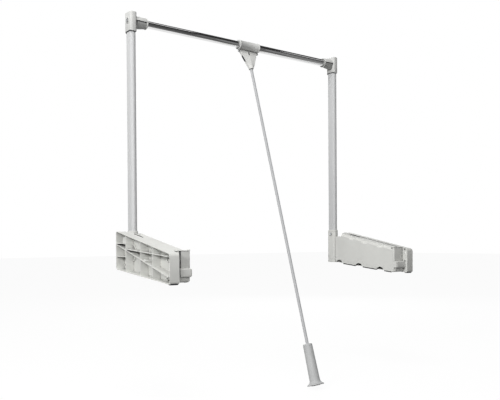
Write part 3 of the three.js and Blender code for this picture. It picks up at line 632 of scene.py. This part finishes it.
def elbow(side):
    """Cap over the arm with an arched foot, and the bar socket with hood, keel and lip."""
    place, body = spot(side), f"{side}_frame"
    tube = TUBE_RADIUS[side]
    lip, start = SOCKET_LIP, SOCKET_START
    cap = upright(
        lambda inset: rounded_box(ELBOW_THICKNESS, ELBOW_DEPTH, ELBOW_CORNER, inset * ELBOW_TAPER),
        ARM,
        (BAR_HEIGHT - ELBOW_FOOT, BAR_HEIGHT + ELBOW_TOP - CROWN),
        ELBOW_EDGES,
        foot_arch,
        CROWN,
    )
    mouth = turned(
        [(lip - 5.4, tube + 0.3), (lip - 1.2, tube + 0.3)]
        + arc((lip - 1.2, tube + 1.3), 1, -90, 0, 3)
        + arc((lip - 1.6, LIP_RADIUS - 1.6), 1.6, 0, 90, 5)
        + arc((lip - 2.8, LIP_RADIUS - 1.2), 1.2, 90, 180, 4)
        + [(lip - 4.4, SOCKET_RADIUS - 0.4), (lip - 5.4, SOCKET_RADIUS - 0.6)],
        ON_BAR,
        "x",
    )
    seat = turned(ring_profile(*ELBOW_SEAT_SPAN, *ELBOW_SEAT), ON_BAR, "x")
    skins = [cap, mouth, elbow_hood(), seat]
    piece(f"{side}_elbow_body", skins, place, PALE_PLASTIC, body, [f"{side}_elbow"])
    # The barrel and keel below the hood use the darker copy of the pale plastic, painted shade.
    barrel = turned(
        [(start - 8, tube - 0.4), (lip - 4.6, tube - 0.4), (lip - 4.6, SOCKET_RADIUS)]
        + [(start, SOCKET_RADIUS + 0.2), (start, SOCKET_RADIUS - 2.6), (start - 8, SOCKET_RADIUS - 2.6)],
        ON_BAR,
        "x",
    )
    skins = [barrel, elbow_keel()]
    piece(f"{side}_elbow_socket", skins, place, PALE_PLASTIC_SHADED, body)


# Painted shadow strips: how far the strip under the cap hangs out and reaches in, and the strips along the
# hood's step
FOOT_SHADOW_OUT = 2
FOOT_SHADOW_IN = 7
SHADOW_STRIP_EDGE = 0.3
NECK_SPAN = (ELBOW_HALF - 2, ELBOW_HALF + 2.6)
NECK_RADII = (12.2, SOCKET_RADIUS - 1.2)
STRIP_END = SOCKET_LIP - 9
STRIP_ROWS = ((ELBOW_HALF - 1, 0), (STRIP_END - 4, 0), (STRIP_END, 1.6))


def elbow_painted_shadows(side):
    """Dark strips of painted shadow: under the cap round the arm, along the hood's step and in the neck of
    the socket.
    """
    low = BAR_HEIGHT - ELBOW_FOOT
    foot = upright(
        box(ELBOW_THICKNESS - 1, ELBOW_DEPTH - 1.4, ELBOW_CORNER - 0.5),
        ARM,
        (low - FOOT_SHADOW_OUT, low + FOOT_SHADOW_IN),
        (SHADOW_STRIP_EDGE, SHADOW_STRIP_EDGE),
        foot_arch,
    )
    neck = turned(ring_profile(*NECK_SPAN, *NECK_RADII, SHADOW_STRIP_EDGE), ON_BAR, "x")
    strips = []
    for face in (-1, 1):
        rings = []
        for along, drop in STRIP_ROWS:
            high = HOOD_HEIGHT - drop
            ring = ((15.4, high - 2.6), (17.6, high - 2.2), (18, high - 0.2), (15.4, high))
            rings.append([(ARM_INSET + along, face * y, BAR_HEIGHT + z) for y, z in ring])
        strips.append(loft(rings))
    skins = [foot, neck] + strips
    piece(f"{side}_elbow_painted_shadows", skins, spot(side), RUBBER, f"{side}_frame")


# Bar tubes and the centre sleeve over their joint
BAR_START = 84
INNER_TUBE_END = 691
OUTER_TUBE_START = 511
TUBE_WALL = 1.6
TUBE_EDGE = 0.5
BAR_SEGMENTS = 64
BAR_AXIS = (0, 0, BAR_HEIGHT)
HANGER_HALF = 45
RIM_RADIUS = 17.5
WAIST_RADIUS = 16.4
MIDDLE_RADIUS = 16.5
# Bores over the thin tube and over the thick one
THIN_BORE = 12.4
THICK_BORE = 14.3
EAR_RADIUS = 3.4
EAR_TOP = 10
EAR_STEPS = 16
EAR_EDGE = 0.8
EAR_SPANS = ((1.65, 4.75), (-4.95, -2.05))


def bar_tubes():
    for name, body, node, side, span in (
        ("thin_bar", "left_frame", "inner_bar_tube", "left", (BAR_START, INNER_TUBE_END)),
        ("thick_bar", "right_frame", "outer_bar_tube", "right", (OUTER_TUBE_START, WIDTH - BAR_START)),
    ):
        radius = TUBE_RADIUS[side]
        profile = ring_profile(*span, radius - TUBE_WALL, radius, TUBE_EDGE)
        skin = turned(profile, BAR_AXIS, "x", BAR_SEGMENTS)
        piece(name, [skin], spot("left"), CHROME, body, [node])


def ear_outline(inset):
    """An ear: half round below the pin, straight sides up into the sleeve."""
    radius = EAR_RADIUS - inset
    points = [(radius, BAR_HEIGHT - EAR_TOP)]
    for i in range(EAR_STEPS + 1):
        turn = -math.pi * i / EAR_STEPS
        points.append((radius * math.cos(turn), BAR_HEIGHT - PIN_DROP + radius * math.sin(turn)))
    points.append((-radius, BAR_HEIGHT - EAR_TOP))
    return points


def centre_sleeve():
    """Sleeve with rounded rims, a parting line and two ears for the fork's pin."""
    left, right = HANGER_AT - HANGER_HALF, HANGER_AT + HANGER_HALF
    step = OUTER_TUBE_START - 0.3
    sleeve = turned(
        [(left + 0.5, THIN_BORE), (left + 0.1, 13)]
        + arc((left + 1.4, RIM_RADIUS - 1.4), 1.4, 180, 90, 5)
        + [(left + 3.2, RIM_RADIUS)]
        + arc((left + 3.2, RIM_RADIUS - 1), 1, 90, 10, 4)
        + [(left + 4.6, WAIST_RADIUS), (HANGER_AT, MIDDLE_RADIUS), (right - 4.6, WAIST_RADIUS)]
        + arc((right - 3.2, RIM_RADIUS - 1), 1, 170, 90, 4)
        + [(right - 3.2, RIM_RADIUS)]
        + arc((right - 1.4, RIM_RADIUS - 1.4), 1.4, 90, 0, 5)
        + [(right - 0.1, 14.6), (right - 0.5, THICK_BORE), (step, THICK_BORE), (step, THIN_BORE)],
        BAR_AXIS,
        "x",
        BAR_SEGMENTS,
    )
    ears = []
    for base, (start, end) in zip((left, right), EAR_SPANS):
        ears.append(along_x(ear_outline, (base + start, base + end), (EAR_EDGE, EAR_EDGE)))
    place, body = spot("left"), "right_frame"
    piece("bar_sleeve", [sleeve], place, PALE_PLASTIC, body, ["centre_sleeve"])
    # The ears use the darker copy of the pale plastic, painted shade.
    piece("bar_sleeve_ears", ears, place, PALE_PLASTIC_SHADED, body)


# Fork: heights along the rod count from its pin and are negative below it. A growth is what a size gains
# from the fork's shoulder to its foot.
FORK_SHOULDER = 1
FORK_LENGTH = 67
FORK_HALF_TOP = 38.2
FORK_HALF_FOOT = 8.6
FORK_RIDGE, FORK_RIDGE_GROWTH = 5.4, 3.2
FORK_EDGE, FORK_EDGE_GROWTH = 3.9, 1.6
FORK_SIDE_SWELL = 1.012
FORK_BLEND_FROM = 0.7
FORK_BLEND_SPAN = 0.3
FORK_BLEND_POWER = 1.4
FORK_HEAD_RADIUS = 5.5
FORK_SLOT = 0.062
FORK_SLOT_FLOOR = 1.6
FORK_SLOT_FOOT = -7
FORK_SHARP_DEGREES = 24
ROD_SEGMENTS = 40
FORK_STEPS = (-1, -0.8, -0.6, -0.4, -0.2, -0.066, -0.06, 0, 0.06, 0.066, 0.2, 0.4, 0.6, 0.8, 1)
FORK_TOP_HEIGHTS = (5.2, 4.4, 3, 1, -2, -6.9, -7.1)
FORK_ROWS = 14
FORK_ROW_REACH = 59.3
# The stop on the left edge, a raised bump drawn black as painted shade: share of its length and how far it
# stands out
STOP_ROWS = ((0, 0.2), (0.15, 1.6), (0.3, 2.6), (0.6, 2.6), (0.8, 1.6), (1, 0.2))
STOP_TOP = -17
STOP_LENGTH = 22
# The dark insert in the slot, painted shadow: heights, and half of its depth through the fork's two faces
SLOT_ROWS = ((-13.5, 6.35), (-9, 6.02), (-4, 5.74))
SLOT_WIDTH = 5.6
SLOT_CORNER = 1.2
SLOT_SHIFT = -1


def fork_ring(height):
    """Section of the fork at a height along the rod: a roof on both faces, round at the foot."""
    share = min(1, max(0, (FORK_SHOULDER - height) / FORK_LENGTH))
    half = FORK_HALF_TOP + (FORK_HALF_FOOT - FORK_HALF_TOP) * share
    ridge = FORK_RIDGE + FORK_RIDGE_GROWTH * share
    edge = FORK_EDGE + FORK_EDGE_GROWTH * share
    blend = max(0.0, (share - FORK_BLEND_FROM) / FORK_BLEND_SPAN) ** FORK_BLEND_POWER
    front = []
    for u in FORK_STEPS:
        roof = edge + (ridge - edge) * (1 - abs(u))
        if abs(u) < FORK_SLOT and height > FORK_SLOT_FOOT:
            roof = FORK_SLOT_FLOOR
        if height > 0:
            roof = min(roof, math.sqrt(max(0.2, FORK_HEAD_RADIUS**2 - height**2)))
        round_ = FORK_HALF_FOOT * math.sqrt(1 - u * u) if abs(u) < 1 else 0
        front.append((half * u, -(roof + (round_ - roof) * blend), height))
    back = [(x, -y, z) for x, y, z in reversed(front)]
    side = half * FORK_SIDE_SWELL
    return front + [(side, 0, height)] + back + [(-side, 0, height)]


def fork_painted_shadows():
    """The raised stop on the fork's left edge and an insert in the slot at its top, both black as painted
    shadow.
    """
    stop = []
    for share, reach in STOP_ROWS:
        height = STOP_TOP - STOP_LENGTH * share
        edge = -fork_ring(height)[len(FORK_STEPS)][0]
        row = ((edge + 1.5, -3), (edge + 1.5, 3), (edge - reach, 2.4), (edge - reach, -2.4))
        stop.append([(x, y, height) for x, y in row])
    slot = []
    for height, reach in SLOT_ROWS:
        outline = rounded_box(SLOT_WIDTH, 2 * reach, SLOT_CORNER, 0)
        slot.append([(x + SLOT_SHIFT, y, height) for x, y in outline])
    piece("fork_painted_shadows", [loft(stop), loft(slot)], hanging, RUBBER, "pull_handle")


def pull_fork():
    """A hip-roofed triangle with a slot on top and a socket for the rod."""
    last = FORK_TOP_HEIGHTS[-1]
    heights = [*FORK_TOP_HEIGHTS] + [last - FORK_ROW_REACH * i / FORK_ROWS for i in range(1, FORK_ROWS + 1)]
    profile = [(-66.4, 5.4), (-66.4, 8)] + arc((-65.6, 8), 0.9, 180, 90, 4)
    profile += [(-61, 8.95), (-60, 8.2), (-60, 5.4)]
    collar = turned(profile, (0, 0, 0), "z", ROD_SEGMENTS)
    skins = [loft([fork_ring(height) for height in heights]), collar]
    # The fork uses the lighter copy of the pale plastic, painted light.
    piece(
        "fork_body",
        skins,
        hanging,
        PALE_PLASTIC_LIT,
        "pull_handle",
        ["pull_fork"],
        FORK_SHARP_DEGREES,
    )


# Housing: dark parts, some of them painted shadow, and the cover's blunt front. A block is its width, depth
# and corner radius, its place in (x, y), its heights, and the radii of its lower and upper edge.
# The groove left is a dark strip of painted shadow, which the tray casts on the cover's front.
LEFT_GROOVE_SHADOW = (
    ((4.4, 3, 1), (45, -331.2), (8, 60), (0.4, 0.4)),
    ((3.6, 3, 1), (38, -342), (-14, 9), (0.4, 0.4)),
)
# A dark strip under the front's foot.
FOOT_DARK_STRIP = ((27, 16, 6), (16.5, -343), (-35.4, -31), (1.2, 0.4))
FRONT_WALL = ((43, 11, 2.5), (57.8, -326), (8, 59.6), (1, 1.2))
FRONT_LIP = ((46.5, 19, 2), (56.8, -323), (59.8, 61.8), (0.6, 0.8))
FRONT_TAB = ((4, 12, 1.6), (77.6, -326), (61, 64.4), (0.3, 0.8))
# Strips on the sloping top edge: x, width, y of the middle, length
# The slot on top is a dark strip, painted shadow in the slot.
TOP_SLOT_SHADOW = (42, 2.6, -93, 56)
RIGHT_SEAM = (32.6, 1, -185, 240)
STRIP_SINK = 1.6
STRIP_HEIGHT = 1.9
STRIP_CUT = 0.4
# The slopes of the housing's edges over its length, and the height of the top one at its rear
HOUSING_REAR = -22
HOUSING_LENGTH = 330
TOP_AT_REAR = 121
TOP_RISE = 67
FOOT_RISE = 34
FOOT_LIPS = ((-66, -130), (-172, -240), (-281, -314))
FOOT_LIP_SPAN = (70, 78.6)
FOOT_LIP_DROP = 2.2
FOOT_LIP_HEIGHT = 3.2
CUT_CORNER = 0.8
# Dark discs in the flange's holes, painted shade.
HOLE_SHADE_PROFILE = [(-1, 0.01), (-1, 3), (1.2, 2.6), (1.2, 0.01)]
HOLE_SHADE_SPOTS = ((31.4, -341, 53), (31.4, -341, 9.5))
HOLE_SHADE_SEGMENTS = 24


def block(size, at, heights, edges):
    return upright(box(*size), at, heights, edges)


def top_height(y):
    """Height of the housing's sloping top edge."""
    return TOP_AT_REAR + (y - HOUSING_REAR) * TOP_RISE / HOUSING_LENGTH


def foot_lip(first, last):
    """A strip with cut corners under the cover's sloping foot."""
    near, far = FOOT_LIP_SPAN
    cut = CUT_CORNER
    rings = []
    for y, inset in ((first, cut), (first - cut, 0), (last + cut, 0), (last, cut)):
        low = (y - HOUSING_REAR) * FOOT_RISE / HOUSING_LENGTH - FOOT_LIP_DROP + inset
        high = low + FOOT_LIP_HEIGHT
        row = ((near + inset, low), (far - inset, low), (far - inset, high), (near + inset, high))
        rings.append([(x, y, z) for x, z in row])
    return loft(rings)


def sloping_strip(x, width, y, length):
    """A flat strip with cut corners that lies on the top edge."""
    end = length / 2
    rings = []
    for along, inset in ((-end, STRIP_CUT), (-end + CUT_CORNER, 0), (end - CUT_CORNER, 0), (end, STRIP_CUT)):
        low = top_height(y + along) - STRIP_SINK
        high = low + STRIP_HEIGHT
        half = width / 2 - inset
        row = ((x - half, low), (x + half, low), (x + half, high), (x - half, high))
        rings.append([(a, y + along, z) for a, z in row])
    return loft(rings)


def housing_shadows_and_dark_strips(side):
    """Dark parts: a strip under the foot, lips, and a seam line right; the slot on top, the holes in the
    flange and a groove left are painted shadow.
    """
    skins = [block(*row) for row in LEFT_GROOVE_SHADOW] if side == "left" else []
    skins.append(block(*FOOT_DARK_STRIP))
    skins.append(sloping_strip(*TOP_SLOT_SHADOW))
    skins += [foot_lip(first, last) for first, last in FOOT_LIPS]
    if side == "right":
        skins.append(sloping_strip(*RIGHT_SEAM))
    skins += [turned(HOLE_SHADE_PROFILE, at, "x", HOLE_SHADE_SEGMENTS) for at in HOLE_SHADE_SPOTS]
    piece(f"{side}_housing_shadows_and_dark_strips", skins, spot(side), RUBBER, f"{side}_housing")


def cover_front(side):
    """The cover's blunt front end: a wall, a thin lip on top and a tab."""
    skins = [block(*FRONT_WALL), block(*FRONT_LIP), block(*FRONT_TAB)]
    piece(f"{side}_cover_front", skins, spot(side), GREY_PLASTIC, f"{side}_housing")


# Rod and grip: places along the rod count from the fork's pin
ROD_PROFILE = [(-1100, 3.4), (-1100, 5), (-41, 5), (-41, 3.4)]
GRIP_TOP = -1080
GRIP_FOOT = -1208
GRIP_END = GRIP_FOOT - 9
GRIP_SEGMENTS = 56
GRIP_ROWS = 8
TAPER_START = GRIP_TOP - 8
TAPER_LENGTH = 116
TAPER_RADIUS, TAPER_GROWTH = 15.6, 1.9
SHOULDER_ROWS = ((-6.6, 15.55), (-7, 15.25), (-7.8, 15.25), (-8.2, 15.6))
FLARE_ROWS = ((7, 17.6), (3.6, 18.3), (0.6, 19.6), (-2, 21.8), (-4, 24.6), (-5.2, 27), (-5.8, 27.8), (-8, 28))
HOLLOW_ROWS = ((0, 27.2), (0, 11.4), (14, 11.4), (14, 5.3))
CAP_ROWS = (
    (9, 0.01),
    (9, 10.9),
    (-0.3, 10.9),
    (-0.3, 14.6),
    (-0.6, 15),
    (-1.2, 14.4),
    (-1.5, 13.4),
    (-1.1, 9),
    (-1.1, 0.01),
)


def shifted(rows, start):
    """Rows of a profile, moved along the axis."""
    return [(start + along, radius) for along, radius in rows]


def pull_rod():
    skin = turned(ROD_PROFILE, (0, 0, 0), "z", ROD_SEGMENTS)
    piece("rod_tube", [skin], hanging, WHITE_ROD, "pull_handle", ["pull_rod"])


def grip():
    """Tapered grip: rounded shoulder, a fine ring and a trumpet foot with a thin rolled edge."""
    profile = [(GRIP_TOP - 0.4, 5.3), (GRIP_TOP, 6.2)] + arc((GRIP_TOP - 3.4, 12.1), 3.4, 0, 90, 6)
    profile += shifted(SHOULDER_ROWS, GRIP_TOP)
    for i in range(1, GRIP_ROWS):
        share = i / GRIP_ROWS
        profile.append((TAPER_START - TAPER_LENGTH * share, TAPER_RADIUS + TAPER_GROWTH * share))
    profile += shifted(FLARE_ROWS, GRIP_FOOT) + shifted(HOLLOW_ROWS, GRIP_END)
    for name, node, rows in (
        ("grip_body", "grip", profile),
        ("grip_cap", "grip_end_cap", shifted(CAP_ROWS, GRIP_END)),
    ):
        skin = turned(rows, (0, 0, 0), "z", GRIP_SEGMENTS)
        piece(name, [skin], hanging, GRIP_PLASTIC, "pull_handle", [node])


# Studio, in metres
FLOOR_SIZE = 40
FLOOR_DROP = 0.004
FLOOR_SHADES = (0.26, 0.97)
FLOOR_GLOW = 0.95
WORLD_STRENGTH = 0.24
# Lamps: name, place, target, size, watts, seen in reflections
LAMPS = (
    ("key", (-3.0, -1.2, 1.4), (0.3, 0, 0.1), (1.2, 0.7), 80, False),
    ("top", (-0.7, -0.6, 3.0), (0.4, 0, 0.0), (1.6, 1.6), 64, False),
    ("fill", (-1.1, -1.7, 0.5), (0.0, -0.1, 0.0), (0.8, 0.8), 15, True),
    ("back", (2.9, 2.4, 1.2), (0.5, 0, 0.2), (1.4, 1.4), 34, False),
)
# Cards: name, outline in (y, z), span in x, shade. Those above leave gaps that draw streaks on the bar.
CARD_LOW = CAD_BOX[0][2] - FLOOR_DROP / 2
CARD_LEFT, CARD_RIGHT = -4, 7
CARD_FRONT, CARD_REAR = -3.2, 1.7
CARD_TURN, CARD_TOP = 2.0, 3.2
SKY_SHADE = 0.13
FRONT_CARD = [(-0.28, CARD_LOW), (CARD_FRONT, CARD_LOW), (CARD_FRONT, CARD_TURN)]
CARDS = (
    ("card_front_left", FRONT_CARD, (CARD_LEFT, 2.2), 0.17),
    ("card_front_middle", FRONT_CARD, (2.2, 2.7), 0.36),
    ("card_front_right", FRONT_CARD, (2.7, CARD_RIGHT), 0.65),
    ("card_upper", [(CARD_FRONT, CARD_TURN), (CARD_FRONT, CARD_TOP)], (CARD_LEFT, CARD_RIGHT), 0.1),
    ("card_above", [(CARD_FRONT, CARD_TOP), (CARD_REAR, CARD_TOP)], (1.75, 2.95), SKY_SHADE),
    ("card_above_left_front", [(CARD_FRONT, CARD_TOP), (-1.3, CARD_TOP)], (CARD_LEFT, 1.75), SKY_SHADE),
    ("card_above_left_rear", [(-0.5, CARD_TOP), (CARD_REAR, CARD_TOP)], (CARD_LEFT, 1.75), SKY_SHADE),
    ("card_above_right_front", [(CARD_FRONT, CARD_TOP), (-1.95, CARD_TOP)], (2.95, CARD_RIGHT), SKY_SHADE),
    ("card_above_right_rear", [(-1.15, CARD_TOP), (CARD_REAR, CARD_TOP)], (2.95, CARD_RIGHT), SKY_SHADE),
)


def seen_directly(nodes, links):
    """1 for camera, glossy and transmission rays, which see the plain white studio."""
    path = nodes.new("ShaderNodeLightPath")
    seen = path.outputs["Is Camera Ray"]
    for ray in ("Is Glossy Ray", "Is Transmission Ray"):
        either = nodes.new("ShaderNodeMath")
        either.operation = "MAXIMUM"
        links.new(seen, either.inputs[0])
        links.new(path.outputs[ray], either.inputs[1])
        seen = either.outputs[0]
    return seen


def add_floor():
    """Floor that looks white and keeps shadows, but throws less light back at the object."""
    bpy.ops.mesh.primitive_plane_add(size=FLOOR_SIZE, location=(0, 0, CAD_BOX[0][2] - FLOOR_DROP))
    floor = bpy.context.object
    floor.name = "studio_floor"
    material, nodes, links, shader = new_material("studio_floor")
    direct = seen_directly(nodes, links)
    dim, bright = FLOOR_SHADES
    links.new(ramp(nodes, links, direct, grey(dim), grey(bright), 0, 1), shader.inputs["Base Color"])
    shader.inputs["Roughness"].default_value = 1
    shader.inputs["Specular IOR Level"].default_value = 0
    glow = nodes.new("ShaderNodeEmission")
    glow.inputs["Color"].default_value = WHITE
    share = nodes.new("ShaderNodeMath")
    share.operation = "MULTIPLY"
    share.inputs[1].default_value = FLOOR_GLOW
    mix = nodes.new("ShaderNodeMixShader")
    links.new(direct, share.inputs[0])
    links.new(share.outputs[0], mix.inputs["Fac"])
    links.new(shader.outputs["BSDF"], mix.inputs[1])
    links.new(glow.outputs["Emission"], mix.inputs[2])
    links.new(mix.outputs["Shader"], nodes["Material Output"].inputs["Surface"])
    floor.data.materials.append(material)


def add_world():
    world = bpy.data.worlds.new("studio")
    bpy.context.scene.world = world
    world.use_nodes = True
    nodes, links = world.node_tree.nodes, world.node_tree.links
    background = nodes["Background"]
    background.inputs["Color"].default_value = WHITE
    direct = seen_directly(nodes, links)
    links.new(spread(nodes, links, direct, WORLD_STRENGTH, 1), background.inputs["Strength"])


def add_area(name, place, target, size, watts, glossy):
    data = bpy.data.lights.new(name, "AREA")
    data.shape = "RECTANGLE"
    data.size, data.size_y = size
    data.energy = watts
    lamp = bpy.data.objects.new(name, data)
    lamp.location = place
    lamp.rotation_euler = (Vector(target) - Vector(place)).to_track_quat("-Z", "Y").to_euler()
    lamp.visible_glossy = glossy
    bpy.context.scene.collection.objects.link(lamp)


def add_card(name, outline, span, shade):
    """A dark card around the set that only reflections see."""
    points = [Vector((x, y, z)) for y, z in outline for x in span]
    faces = [(2 * i, 2 * i + 1, 2 * i + 3, 2 * i + 2) for i in range(len(outline) - 1)]
    mesh = bpy.data.meshes.new(name)
    mesh.from_pydata(points, [], faces)
    material, _, _, shader = new_material(name)
    shader.inputs["Base Color"].default_value = grey(shade)
    shader.inputs["Roughness"].default_value = 1
    shader.inputs["Specular IOR Level"].default_value = 0
    mesh.materials.append(material)
    card = bpy.data.objects.new(name, mesh)
    bpy.context.scene.collection.objects.link(card)
    card.visible_camera = False
    card.visible_diffuse = False
    card.visible_shadow = False


add_camera()
dress_nodes()
for side_name in ("left", "right"):
    arm_tube(side_name)
    arm_sleeve(side_name)
    elbow(side_name)
    elbow_painted_shadows(side_name)
    cover_front(side_name)
    housing_shadows_and_dark_strips(side_name)
bar_tubes()
centre_sleeve()
fork_painted_shadows()
pull_fork()
pull_rod()
grip()
add_floor()
add_world()
for lamp_row in LAMPS:
    add_area(*lamp_row)
for card_row in CARDS:
    add_card(*card_row)

bpy.context.scene.view_settings.view_transform = "Standard"
